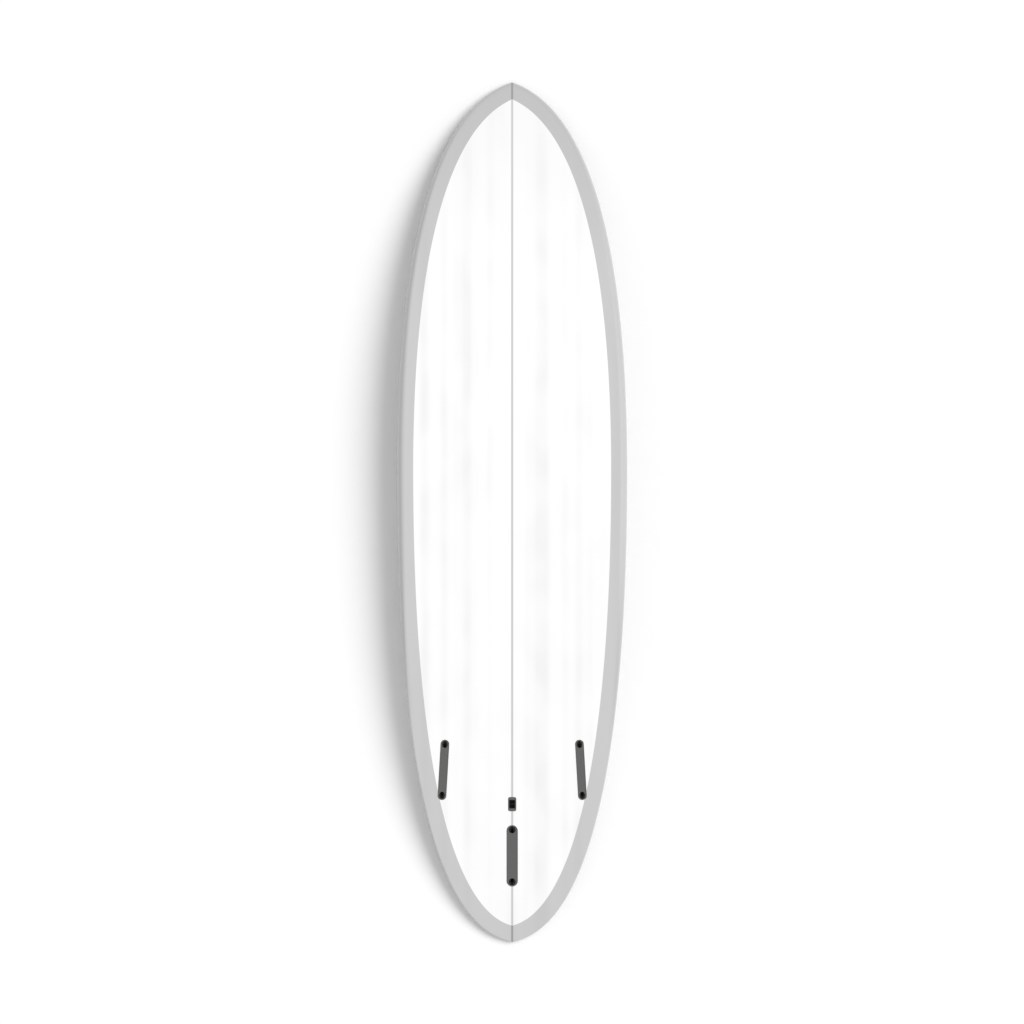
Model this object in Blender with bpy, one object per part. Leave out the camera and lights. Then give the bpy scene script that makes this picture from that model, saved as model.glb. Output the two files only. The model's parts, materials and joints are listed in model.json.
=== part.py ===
"""A mid-length surfboard with a round pin tail, laid down bottom up on its nose and tail.

Board space has X across, Y towards the nose and Z out of the bottom, with its origin on the bottom
at half length. A last step tilts the board level, so that the nose and the tail meet the ground.
"""

import math

import bmesh
import bpy
from mathutils import Matrix, Vector

# Plan shape, in metres and radians
LENGTH = 2.032
WIDTH = 0.542
WIDE_POINT_FROM_NOSE = 0.917
NOSE_TIP_ANGLE = math.radians(18.6)
TAIL_TIP_ANGLE = math.radians(10.0)

# Pull of the two outline curves: at the tips as a share of half the width,
# at the wide point as a share of the length from there to the tip
NOSE_TIP_PULL = 0.534
NOSE_SIDE_PULL = 0.717
TAIL_TIP_PULL = 0.826
TAIL_SIDE_PULL = 0.460

# Side shape: rocker is measured from a level line that touches the bottom at half length
NOSE_ROCKER_HEIGHT = 0.124
TAIL_ROCKER_HEIGHT = 0.062
NOSE_ROCKER_POWER = 2.4
TAIL_ROCKER_POWER = 2.2
THICKNESS = 0.070
THICK_POINT_FROM_NOSE = 0.950
NOSE_THICKNESS = 0.014
TAIL_THICKNESS = 0.015
FOIL_POWER = 2.0

# Cross section: the rail's edge stands at a share of the thickness and comes down to a hard
# edge towards the tail, the tuck under it is as wide as a multiple of that height, and the
# deck is a superellipse
EDGE_HEIGHT_SHARE = 0.31
HARD_EDGE_HEIGHT = 0.003
SOFT_EDGE_FROM_TAIL = 1.016
HARD_EDGE_FROM_TAIL = 0.436
TUCK_RATIO = 0.82
DECK_POWER = 2.4
SPINE_INSET = 0.085

# Layers of the build
GLASS_THICKNESS = 0.0012
LAP_WIDTH = 0.0383
STRINGER_THICKNESS = 0.0048
CLEARANCE = 0.0003

# Fin boxes
SIDE_BOX_LENGTH = 0.143
SIDE_BOX_WIDTH = 0.020
SIDE_BOX_DEPTH = 0.019
SIDE_BOX_FROM_TAIL = 0.4101
SIDE_BOX_RAIL_INSET = 0.0614
SIDE_BOX_TOE_IN = math.radians(3.3)
SIDE_SOCKET_LENGTH = 0.0172
SIDE_SOCKET_WIDTH = 0.0132
CENTER_BOX_LENGTH = 0.1464
CENTER_BOX_WIDTH = 0.0261
CENTER_BOX_DEPTH = 0.020
CENTER_BOX_REAR_FROM_TAIL = 0.1325
CENTER_SOCKET_LENGTH = 0.017
CENTER_SOCKET_WIDTH = 0.0162
BOX_END_WALL = 0.0024
BOX_FLOOR = 0.0025

# Tab sockets and their grub screws
SOCKET_SINK = 0.0008
SOCKET_FLOOR = 0.002
SOCKET_WALL = 0.0012
TAB_WIDTH = 0.0066
SCREW_RADIUS = 0.002
SCREW_LENGTH = 0.005
SCREW_POINT = 0.001
SCREW_TRAVEL = 0.0026
SCREW_SINK = 0.0012
SCREW_TILT = math.radians(15.0)
HEX_ACROSS_FLATS = 0.002
HEX_DEPTH = 0.0022

# Rectangular tether fitting on the stringer, ahead of the centre box
TETHER_LENGTH = 0.0333
TETHER_WIDTH = 0.0189
TETHER_DEPTH = 0.015
TETHER_CORNER = 0.0042
TETHER_AHEAD_OF_BOX = 0.0333
TETHER_FLOOR = 0.002
CUP_LENGTH = 0.0201
CUP_WIDTH = 0.0138
CUP_CORNER = 0.0015
CUP_WALL = 0.0012
TETHER_PIN_RADIUS = 0.002
TETHER_PIN_BELOW_FACE = 0.005
TETHER_PIN_GRIP = 0.0015

# Round leash plug on the deck, behind the centre box
LEASH_RADIUS = 0.014
LEASH_DEPTH = 0.014
LEASH_WALL = 0.0035
LEASH_FLOOR = 0.0025
LEASH_BEHIND_BOX = 0.018
LEASH_PIN_RADIUS = 0.0023
LEASH_PIN_BELOW_FACE = 0.0055
LEASH_PIN_GRIP = 0.0025

# Facets
NOSE_STEPS = 15
TAIL_STEPS = 18
TUCK_STEPS = 5
RAIL_STEPS = 4
DECK_STEPS = 3
ROUND_STEPS = 24
SCREW_SIDES = 16
SHARP_ANGLE = math.radians(30.0)

# Small steps of the working: for slopes, for points that count as one, and for levelling the board
SLOPE_STEP = 0.001
MERGE_DISTANCE = 1e-6
LEVELLING_PASSES = 12

# Colours as linear red, green and blue, with roughness and metallic value
WHITE_GLASS = ((0.88, 0.88, 0.88), 0.12, 0.0)
GREY_GLASS = ((0.58, 0.58, 0.57), 0.12, 0.0)
FOAM = ((0.86, 0.85, 0.80), 0.9, 0.0)
TIMBER = ((0.55, 0.46, 0.34), 0.6, 0.0)
GREY_NYLON = ((0.14, 0.14, 0.135), 0.45, 0.0)
BLACK_NYLON = ((0.016, 0.015, 0.012), 0.5, 0.0)
DARK_STEEL = ((0.06, 0.06, 0.06), 0.35, 1.0)
BRIGHT_STEEL = ((0.55, 0.56, 0.57), 0.25, 1.0)

for old_object in list(bpy.data.objects):
    bpy.data.objects.remove(old_object)


# Plan shape

NOSE_Y = LENGTH / 2
TAIL_Y = -LENGTH / 2
WIDE_Y = NOSE_Y - WIDE_POINT_FROM_NOSE


def bezier(a, b, c, d, t):
    """The point and the direction of a cubic curve at t."""
    s = 1 - t
    point = a * s**3 + b * (3 * s * s * t) + c * (3 * s * t * t) + d * t**3
    direction = (b - a) * (s * s) + (c - b) * (2 * s * t) + (d - c) * (t * t)
    return point, direction.normalized()


def half_outline():
    """Points of the right-hand outline, nose to tail, each with its direction."""
    half = WIDTH / 2
    wide = Vector((half, WIDE_Y))
    nose = Vector((0, NOSE_Y))
    nose_pull = Vector((math.cos(NOSE_TIP_ANGLE), -math.sin(NOSE_TIP_ANGLE))) * (NOSE_TIP_PULL * half)
    nose_side = Vector((0, NOSE_SIDE_PULL * (NOSE_Y - WIDE_Y)))
    tail = Vector((0, TAIL_Y))
    tail_pull = Vector((math.cos(TAIL_TIP_ANGLE), math.sin(TAIL_TIP_ANGLE))) * (TAIL_TIP_PULL * half)
    tail_side = Vector((0, -TAIL_SIDE_PULL * (WIDE_Y - TAIL_Y)))
    points = []
    for i in range(NOSE_STEPS):
        points.append(bezier(nose, nose + nose_pull, wide + nose_side, wide, i / NOSE_STEPS))
    for i in range(TAIL_STEPS + 1):
        points.append(bezier(wide, wide + tail_side, tail + tail_pull, tail, i / TAIL_STEPS))
    return points


OUTLINE = half_outline()


def half_width(y):
    """Half the board's width at y, read off the outline."""
    for (near, _), (far, _) in zip(OUTLINE, OUTLINE[1:]):
        if near.y >= y >= far.y:
            return near.x + (far.x - near.x) * (near.y - y) / (near.y - far.y)
    return 0.0


def rocker(y):
    """How far the bottom has curved away from the level line at y."""
    if y > 0:
        return NOSE_ROCKER_HEIGHT * (y / NOSE_Y) ** NOSE_ROCKER_POWER
    return TAIL_ROCKER_HEIGHT * (y / TAIL_Y) ** TAIL_ROCKER_POWER


def thickness(y):
    """Thickness on the centre line at y."""
    thick_y = NOSE_Y - THICK_POINT_FROM_NOSE
    tip, reach = (NOSE_THICKNESS, NOSE_Y - thick_y) if y > thick_y else (TAIL_THICKNESS, TAIL_Y - thick_y)
    return tip + (THICKNESS - tip) * (1 - ((y - thick_y) / reach) ** FOIL_POWER)


def edge_height(y):
    """How high the rail's edge stands over the bottom at y, eased from a soft rail to a hard one."""
    soft = EDGE_HEIGHT_SHARE * thickness(y)
    along = (TAIL_Y + SOFT_EDGE_FROM_TAIL - y) / (SOFT_EDGE_FROM_TAIL - HARD_EDGE_FROM_TAIL)
    along = min(max(along, 0.0), 1.0)
    return soft + (HARD_EDGE_HEIGHT - soft) * along * along * (3 - 2 * along)


# Cross sections, one for each outline point, along a line from the rail in to the spine

def section_lines():
    """For each outline point: the point, the plan step per metre from the rail, the way to the spine."""
    lines = []
    for point, direction in OUTLINE:
        inward = Vector((direction.y, -direction.x))
        foot = point.y + inward.y * point.x / max(-inward.x, MERGE_DISTANCE)
        foot = min(max(foot, TAIL_Y + SPINE_INSET), NOSE_Y - SPINE_INSET)
        aim = Vector((0, foot)) - point
        square = aim.normalized().dot(inward)
        lines.append((point, aim.normalized() / square, aim.length * square))
    return lines


def bottom_point(distance, edge, tuck):
    """Distance, height and outward normal of the bottom, from the flat down to the rail's edge."""
    if distance >= tuck:
        return distance, 0.0, Vector((0, -1))
    across = 1 - distance / tuck
    up = math.sqrt(1 - across * across)
    return distance, edge * (1 - up), Vector((-across / tuck, -up / edge)).normalized()


def deck_point(angle, span, edge, crown):
    """The same on the deck, from the rail's edge at angle 0 to the spine at a right angle."""
    across = math.cos(angle) ** (2 / DECK_POWER)
    up = math.sin(angle) ** (2 / DECK_POWER)
    normal = Vector((-across ** (DECK_POWER - 1) / span, up ** (DECK_POWER - 1) / crown))
    return span * (1 - across), edge + crown * up, normal.normalized()


def deck_angle(distance, span):
    """The deck's angle at a distance from the rail."""
    return math.acos((1 - distance / span) ** (DECK_POWER / 2))


def section(line, inset):
    """Points of one section as bottom, rail and deck stretches, sunk by inset under the outer face."""
    point, step, span = line
    spine = point + step * span
    edge = edge_height(point.y)
    crown = thickness(spine.y) - edge
    tuck = TUCK_RATIO * edge
    half_gap = CLEARANCE / 2
    bottom = [bottom_point(d, edge, tuck) for d in (span, LAP_WIDTH + half_gap)]
    rail = [bottom_point(LAP_WIDTH - half_gap, edge, tuck)]
    tuck_start = math.asin(max(0.0, 1 - LAP_WIDTH / tuck))
    for i in range(1, TUCK_STEPS + 1):
        turn = tuck_start + (math.pi / 2 - tuck_start) * i / TUCK_STEPS
        rail.append(bottom_point(tuck * (1 - math.sin(turn)), edge, tuck))
    lap_angle = deck_angle(LAP_WIDTH - half_gap, span)
    rail += [deck_point(lap_angle * i / RAIL_STEPS, span, edge, crown) for i in range(1, RAIL_STEPS + 1)]
    lap_angle = deck_angle(LAP_WIDTH + half_gap, span)
    rest = math.pi / 2 - lap_angle
    deck = [deck_point(lap_angle + rest * i / DECK_STEPS, span, edge, crown) for i in range(DECK_STEPS + 1)]

    def place(distance, height, normal):
        plan = point + step * (distance - inset * normal.x)
        return Vector((plan.x, plan.y, -rocker(plan.y) - height + inset * normal.y))

    return [[place(*p) for p in stretch] for stretch in (bottom, rail, deck)]


def around(inset):
    """Sections right round the board: the right side from nose to tail, then the left side back."""
    right = [section(line, inset) for line in section_lines()]
    flip = Vector((-1, 1, 1))
    left = [[[p * flip for p in stretch] for stretch in s] for s in right[-2:0:-1]]
    return right + left


# Objects

def material(name, look):
    """A Principled material of one colour."""
    colour, roughness, metallic = look
    made = bpy.data.materials.get(name) or bpy.data.materials.new(name)
    made.use_nodes = True
    made.diffuse_color = (*colour, 1)
    shader = made.node_tree.nodes["Principled BSDF"]
    shader.inputs["Base Color"].default_value = (*colour, 1)
    shader.inputs["Roughness"].default_value = roughness
    shader.inputs["Metallic"].default_value = metallic
    return made


def add_object(name, data, parent, matrix=Matrix()):
    """Link an object into the scene, placed in its parent's space."""
    made = bpy.data.objects.new(name, data)
    bpy.context.scene.collection.objects.link(made)
    made.parent = parent
    made.matrix_basis = matrix
    return made


def add_mesh(name, bm, parent, look=None, matrix=Matrix()):
    """Turn a bmesh into an object, with a material named after its look."""
    bmesh.ops.recalc_face_normals(bm, faces=bm.faces)
    mesh = bpy.data.meshes.new(name)
    bm.to_mesh(mesh)
    bm.free()
    if look:
        mesh.materials.append(material(*look))
    mesh.shade_smooth()
    mesh.set_sharp_from_angle(angle=SHARP_ANGLE)
    return add_object(name, mesh, parent, matrix)


def add_cutter(name, outline, low, high, parent, matrix=Matrix()):
    """A hidden prism that only cuts."""
    made = add_mesh(name, prism(outline, low, high), parent, None, matrix)
    made.hide_render = True
    made.display_type = "WIRE"
    return made


def cut(target, *cutters):
    """Take cutters out of a piece."""
    for cutter in cutters:
        modifier = target.modifiers.new(cutter.name, "BOOLEAN")
        modifier.operation = "DIFFERENCE"
        modifier.object = cutter


def prism(outline, low, high):
    """An outline in X and Y, extruded from low to high."""
    bm = bmesh.new()
    base = bm.faces.new([bm.verts.new((x, y, low)) for x, y in outline])
    extruded = bmesh.ops.extrude_face_region(bm, geom=[base])["geom"]
    top = [v for v in extruded if isinstance(v, bmesh.types.BMVert)]
    bmesh.ops.translate(bm, verts=top, vec=(0, 0, high - low))
    return bm


def oval(width, length, steps=ROUND_STEPS):
    """An ellipse."""
    turns = [2 * math.pi * i / steps for i in range(steps)]
    return [(width / 2 * math.cos(a), length / 2 * math.sin(a)) for a in turns]


def rounded(width, length, radius, steps=ROUND_STEPS // 4):
    """A rectangle with round corners, or with round ends where the radius is half the width."""
    points = []
    for quarter, (sx, sy) in enumerate(((1, 1), (-1, 1), (-1, -1), (1, -1))):
        middle = (sx * (width / 2 - radius), sy * (length / 2 - radius))
        for i in range(steps + 1):
            a = math.pi / 2 * (quarter + i / steps)
            corner = (middle[0] + radius * math.cos(a), middle[1] + radius * math.sin(a))
            if not points or math.dist(corner, points[-1]) > MERGE_DISTANCE:
                points.append(corner)
    return points


def rectangle(x_low, x_high, y_low, y_high):
    """A plain rectangle."""
    return [(x_low, y_low), (x_high, y_low), (x_high, y_high), (x_low, y_high)]


# Blank and skins

board = add_object("board", None, None)


def stitch(bm, near, far):
    """Join two rows of points with triangles, split the same way on every layer."""
    for k in range(len(near) - 1):
        bm.faces.new((near[k], near[k + 1], far[k + 1]))
        bm.faces.new((near[k], far[k + 1], far[k]))


def skin_mesh(stretch, edges):
    """A glass sheet over one stretch of the sections, with a wall along each of its free edges."""
    bm = bmesh.new()
    outer = [[bm.verts.new(p) for p in s[stretch]] for s in around(0.0)]
    inner = [[bm.verts.new(p) for p in s[stretch]] for s in around(GLASS_THICKNESS)]
    for i in range(len(outer)):
        stitch(bm, outer[i - 1], outer[i])
        stitch(bm, inner[i - 1], inner[i])
        for edge in edges:
            stitch(bm, (outer[i - 1][edge], inner[i - 1][edge]), (outer[i][edge], inner[i][edge]))
    bmesh.ops.remove_doubles(bm, verts=bm.verts, dist=MERGE_DISTANCE)
    return bm


def core_mesh():
    """The whole blank, under the skins."""
    bm = bmesh.new()
    sections = around(GLASS_THICKNESS + CLEARANCE)
    rows = [[bm.verts.new(p) for p in s[0][:1] + s[1] + s[2][1:]] for s in sections]
    for i in range(len(rows)):
        stitch(bm, rows[i - 1], rows[i])
    bmesh.ops.remove_doubles(bm, verts=bm.verts, dist=MERGE_DISTANCE)
    return bm


def core_slice(name, low, high, look):
    """The stretch of the blank between two planes across X."""
    bm = core_mesh()
    for x, side in ((low, 1), (high, -1)):
        if abs(x) < WIDTH:
            geometry = bm.verts[:] + bm.edges[:] + bm.faces[:]
            sliced = bmesh.ops.bisect_plane(
                bm, geom=geometry, plane_co=(x, 0, 0), plane_no=(side, 0, 0), clear_inner=True
            )
            rim = [e for e in sliced["geom_cut"] if isinstance(e, bmesh.types.BMEdge)]
            bmesh.ops.holes_fill(bm, edges=rim)
    return add_mesh(name, bm, board, look)


bottom_skin = add_mesh("bottom_skin", skin_mesh(0, (-1,)), board, ("white_glass", WHITE_GLASS))
rail_wrap = add_mesh("rail_wrap", skin_mesh(1, (0, -1)), board, ("grey_glass", GREY_GLASS))
deck_skin = add_mesh("deck_skin", skin_mesh(2, (0,)), board, ("white_glass", WHITE_GLASS))

foam_edge = STRINGER_THICKNESS / 2 + CLEARANCE
foam_left = core_slice("foam_core_left", -WIDTH, -foam_edge, ("foam", FOAM))
foam_right = core_slice("foam_core_right", foam_edge, WIDTH, ("foam", FOAM))
stringer = core_slice("stringer", -STRINGER_THICKNESS / 2, STRINGER_THICKNESS / 2, ("timber", TIMBER))
blank = (foam_left, foam_right, stringer)


# Fittings in the bottom and in the deck

def bottom_seat(name, x, y, turn=0.0):
    """An empty on the bottom, its Z out of the board and its Y towards the nose."""
    slope = math.atan((rocker(y + SLOPE_STEP) - rocker(y - SLOPE_STEP)) / (2 * SLOPE_STEP))
    tilt = Matrix.Rotation(-slope, 4, "X") @ Matrix.Rotation(turn, 4, "Z")
    return add_object(name, None, board, Matrix.Translation((x, y, -rocker(y))) @ tilt)


def deck_seat(name, y):
    """An empty on the deck's centre line, its Z out of the board."""

    def depth(at):
        return rocker(at) + thickness(at)

    slope = math.atan((depth(y + SLOPE_STEP) - depth(y - SLOPE_STEP)) / (2 * SLOPE_STEP))
    tilt = Matrix.Rotation(math.pi - slope, 4, "X")
    return add_object(name, None, board, Matrix.Translation((0, y, -depth(y))) @ tilt)


def let_in(name, outline, depth, seat, *targets):
    """Cut a fitting's pocket through the skins into the blank, a clearance deeper than the fitting."""
    pocket = add_cutter(name + "_pocket", outline, -depth - CLEARANCE, depth, seat)
    for target in targets:
        cut(target, pocket)


def fin_screw(name, socket_seat, axis_y):
    """A grub screw with a hexagon socket and a cone point, on the tilted axis of its bore."""
    top = -SCREW_SINK
    shank_end = top - SCREW_LENGTH + SCREW_POINT
    tilt = Matrix.Translation((0, axis_y, -SOCKET_SINK)) @ Matrix.Rotation(-SCREW_TILT, 4, "X")
    bm = prism(oval(2 * SCREW_RADIUS, 2 * SCREW_RADIUS, SCREW_SIDES), shank_end, top)
    tip = min(bm.faces, key=lambda f: f.calc_center_median().z)
    point = bmesh.ops.extrude_face_region(bm, geom=[tip])["geom"]
    ring = [v for v in point if isinstance(v, bmesh.types.BMVert)]
    bmesh.ops.delete(bm, geom=[tip], context="FACES_ONLY")
    bmesh.ops.translate(bm, verts=ring, vec=(0, 0, -SCREW_POINT))
    narrow = 1 - SCREW_POINT / SCREW_RADIUS
    bmesh.ops.scale(bm, verts=ring, vec=(narrow, narrow, 1))
    screw = add_mesh(name, bm, socket_seat, ("dark_steel", DARK_STEEL), tilt)
    across_corners = HEX_ACROSS_FLATS / math.cos(math.pi / 6)
    hexagon = oval(across_corners, across_corners, 6)
    cut(screw, add_cutter(name + "_hexagon", hexagon, top - HEX_DEPTH, top + HEX_DEPTH, socket_seat, tilt))

    bore = 2 * (SCREW_RADIUS + CLEARANCE) / math.cos(math.pi / SCREW_SIDES)
    bore_end = top - SCREW_LENGTH - SCREW_TRAVEL
    bore_outline = oval(bore, bore, SCREW_SIDES)
    return add_cutter(name + "_bore", bore_outline, bore_end, SCREW_LENGTH, socket_seat, tilt)


def fin_socket(side, end, box_seat, y, width, length, depth):
    """A black tab socket in its well, with its screw. Its Y points to the near end of the box."""
    turn = 0.0 if end == "front" else math.pi
    matrix = Matrix.Translation((0, y, 0)) @ Matrix.Rotation(turn, 4, "Z")
    seat = add_object(f"socket_seat_{side}_{end}", None, box_seat, matrix)
    well = add_cutter(f"fin_well_{side}_{end}", oval(width, length), -depth, depth, seat)

    outline = oval(width - 2 * CLEARANCE, length - 2 * CLEARANCE)
    floor = -depth + CLEARANCE
    body = prism(outline, floor, -SOCKET_SINK)
    socket = add_mesh(f"fin_socket_{side}_{end}", body, seat, ("black_nylon", BLACK_NYLON))
    bore_reach = (SCREW_RADIUS + CLEARANCE) / math.cos(SCREW_TILT)
    axis_y = length / 2 - CLEARANCE - SOCKET_WALL - bore_reach
    bore = fin_screw(f"fin_screw_{side}_{end}", seat, axis_y)
    slot_end = axis_y - bore_reach - CLEARANCE
    slot = rectangle(-TAB_WIDTH / 2, TAB_WIDTH / 2, -length, slot_end)
    tab = add_cutter(f"tab_slot_{side}_{end}", slot, floor + SOCKET_FLOOR, depth, seat)
    cut(socket, tab, bore)
    return well


def fin_box(side, x, y, turn, size, socket_size):
    """A grey box with round ends, a flat top and a well at each end."""
    length, width, depth = size
    socket_length, socket_width = socket_size
    seat = bottom_seat(f"fin_box_seat_{side}", x, y, turn)
    body = prism(rounded(width, length, width / 2), -depth, 0.0)
    box = add_mesh(f"fin_box_{side}", body, seat, ("grey_nylon", GREY_NYLON))
    well_y = length / 2 - BOX_END_WALL - socket_length / 2
    well_depth = depth - BOX_FLOOR
    for end, at in (("front", well_y), ("rear", -well_y)):
        cut(box, fin_socket(side, end, seat, at, socket_width, socket_length, well_depth))

    hole_width = width + 2 * CLEARANCE
    hole = rounded(hole_width, length + 2 * CLEARANCE, hole_width / 2)
    let_in(f"fin_box_{side}", hole, depth, seat, bottom_skin, rail_wrap, *blank)


side_y = TAIL_Y + SIDE_BOX_FROM_TAIL
side_x = half_width(side_y) - SIDE_BOX_RAIL_INSET
side_size = (SIDE_BOX_LENGTH, SIDE_BOX_WIDTH, SIDE_BOX_DEPTH)
side_socket = (SIDE_SOCKET_LENGTH, SIDE_SOCKET_WIDTH)
fin_box("left", -side_x, side_y, -SIDE_BOX_TOE_IN, side_size, side_socket)
fin_box("right", side_x, side_y, SIDE_BOX_TOE_IN, side_size, side_socket)

center_y = TAIL_Y + CENTER_BOX_REAR_FROM_TAIL + CENTER_BOX_LENGTH / 2
center_size = (CENTER_BOX_LENGTH, CENTER_BOX_WIDTH, CENTER_BOX_DEPTH)
fin_box("center", 0.0, center_y, 0.0, center_size, (CENTER_SOCKET_LENGTH, CENTER_SOCKET_WIDTH))


def cross_pin(name, radius, length, below, seat, look):
    """A pin across X below the face, and the cutter for its seats."""
    lie = Matrix.Translation((0, 0, -below)) @ Matrix.Rotation(math.pi / 2, 4, "Y")
    outline = oval(2 * radius, 2 * radius, SCREW_SIDES)
    add_mesh(name, prism(outline, -length / 2, length / 2), seat, look, lie)
    wide = 2 * (radius + CLEARANCE) / math.cos(math.pi / SCREW_SIDES)
    reach = length / 2 + CLEARANCE
    return add_cutter(name + "_seats", oval(wide, wide, SCREW_SIDES), -reach, reach, seat, lie)


# Rectangular tether fitting: a grey frame, a black cup in it and a pin through both
tether_y = center_y + CENTER_BOX_LENGTH / 2 + TETHER_AHEAD_OF_BOX + TETHER_LENGTH / 2
tether_seat = bottom_seat("tether_seat", 0.0, tether_y)
frame_body = prism(rounded(TETHER_WIDTH, TETHER_LENGTH, TETHER_CORNER), -TETHER_DEPTH, 0.0)
tether_frame = add_mesh("tether_frame", frame_body, tether_seat, ("grey_nylon", GREY_NYLON))
cup_bottom = -TETHER_DEPTH + TETHER_FLOOR
cup_outline = rounded(CUP_WIDTH, CUP_LENGTH, CUP_CORNER)
cup_body = prism(cup_outline, cup_bottom, -CLEARANCE)
tether_cup = add_mesh("tether_cup", cup_body, tether_seat, ("black_nylon", BLACK_NYLON))
frame_hole = rounded(CUP_WIDTH + 2 * CLEARANCE, CUP_LENGTH + 2 * CLEARANCE, CUP_CORNER + CLEARANCE)
cut(tether_frame, add_cutter("tether_hole", frame_hole, cup_bottom - CLEARANCE, TETHER_DEPTH, tether_seat))
cup_hollow = rounded(CUP_WIDTH - 2 * CUP_WALL, CUP_LENGTH - 2 * CUP_WALL, CUP_CORNER / 2)
cut(tether_cup, add_cutter("tether_hollow", cup_hollow, cup_bottom + CUP_WALL, TETHER_DEPTH, tether_seat))
tether_pin_length = CUP_WIDTH + 2 * CLEARANCE + 2 * TETHER_PIN_GRIP
tether_look = ("dark_steel", DARK_STEEL)
tether_seats = cross_pin(
    "tether_pin", TETHER_PIN_RADIUS, tether_pin_length, TETHER_PIN_BELOW_FACE, tether_seat, tether_look
)
cut(tether_frame, tether_seats)
cut(tether_cup, tether_seats)
pocket_width = TETHER_WIDTH + 2 * CLEARANCE
tether_pocket = rounded(pocket_width, TETHER_LENGTH + 2 * CLEARANCE, TETHER_CORNER + CLEARANCE)
let_in("tether_frame", tether_pocket, TETHER_DEPTH, tether_seat, bottom_skin, *blank)

# Round leash plug: a black cup with a bright pin across its mouth
leash_y = center_y - CENTER_BOX_LENGTH / 2 - LEASH_BEHIND_BOX - LEASH_RADIUS
leash_seat = deck_seat("leash_seat", leash_y)
leash_body = prism(oval(2 * LEASH_RADIUS, 2 * LEASH_RADIUS), -LEASH_DEPTH, 0.0)
leash_cup = add_mesh("leash_cup", leash_body, leash_seat, ("black_nylon", BLACK_NYLON))
hollow_width = 2 * (LEASH_RADIUS - LEASH_WALL)
hollow_floor = -LEASH_DEPTH + LEASH_FLOOR
hollow_outline = oval(hollow_width, hollow_width)
cut(leash_cup, add_cutter("leash_hollow", hollow_outline, hollow_floor, LEASH_DEPTH, leash_seat))
leash_pin_length = hollow_width + 2 * LEASH_PIN_GRIP
leash_look = ("bright_steel", BRIGHT_STEEL)
leash_seats = cross_pin(
    "leash_pin", LEASH_PIN_RADIUS, leash_pin_length, LEASH_PIN_BELOW_FACE, leash_seat, leash_look
)
cut(leash_cup, leash_seats)
leash_pocket = oval(2 * (LEASH_RADIUS + CLEARANCE), 2 * (LEASH_RADIUS + CLEARANCE))
let_in("leash_cup", leash_pocket, LEASH_DEPTH, leash_seat, deck_skin, *blank)


# Laid down: tilted until the nose and the tail are level, with the origin on the ground below its middle

def lie_flat():
    """The tilt and place that rest the board's two ends on the ground."""
    hull = [p for s in around(0.0) for stretch in s for p in stretch]
    pitch = 0.0
    for _ in range(LEVELLING_PASSES):
        turned = [Matrix.Rotation(pitch, 3, "X") @ p for p in hull]
        nose = min((p for p in turned if p.y > 0), key=lambda p: p.z)
        tail = min((p for p in turned if p.y < 0), key=lambda p: p.z)
        pitch += math.atan2(tail.z - nose.z, nose.y - tail.y)
    middle = (min(p.y for p in turned) + max(p.y for p in turned)) / 2
    return Matrix.Translation((0, -middle, -min(p.z for p in turned))) @ Matrix.Rotation(pitch, 4, "X")


board.matrix_basis = lie_flat()
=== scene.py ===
"""Looks for a mid-length surfboard with a round pin tail, lying bottom up on its nose and tail."""

import json
import math

import bpy
from mathutils import Matrix, Vector


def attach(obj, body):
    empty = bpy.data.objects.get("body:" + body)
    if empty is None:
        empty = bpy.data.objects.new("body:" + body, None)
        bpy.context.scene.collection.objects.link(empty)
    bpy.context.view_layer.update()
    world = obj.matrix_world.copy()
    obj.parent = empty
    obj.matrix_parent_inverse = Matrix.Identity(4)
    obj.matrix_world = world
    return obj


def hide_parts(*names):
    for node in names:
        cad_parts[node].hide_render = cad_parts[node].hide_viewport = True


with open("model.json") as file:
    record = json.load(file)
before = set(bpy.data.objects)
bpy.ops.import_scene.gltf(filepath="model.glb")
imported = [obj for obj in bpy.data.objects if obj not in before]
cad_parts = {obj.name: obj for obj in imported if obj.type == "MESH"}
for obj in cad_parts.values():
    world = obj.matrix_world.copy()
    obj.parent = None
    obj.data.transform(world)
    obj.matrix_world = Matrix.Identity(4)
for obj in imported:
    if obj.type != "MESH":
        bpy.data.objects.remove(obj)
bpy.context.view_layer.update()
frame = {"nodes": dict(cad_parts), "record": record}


# Blank: two halves of cast foam with a thin ply stringer glued between them, planed to shape.
# The glass covers both, so the shaped solids stay, with the cells of cut foam and ply grain.

def pick(sockets, key):
    """A node's socket, by its place in the list or by its name or identifier."""
    if isinstance(key, int):
        return sockets[key]
    live = [s for s in sockets if not s.is_unavailable]
    return next(s for s in live if key in (s.identifier, s.name))


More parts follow.
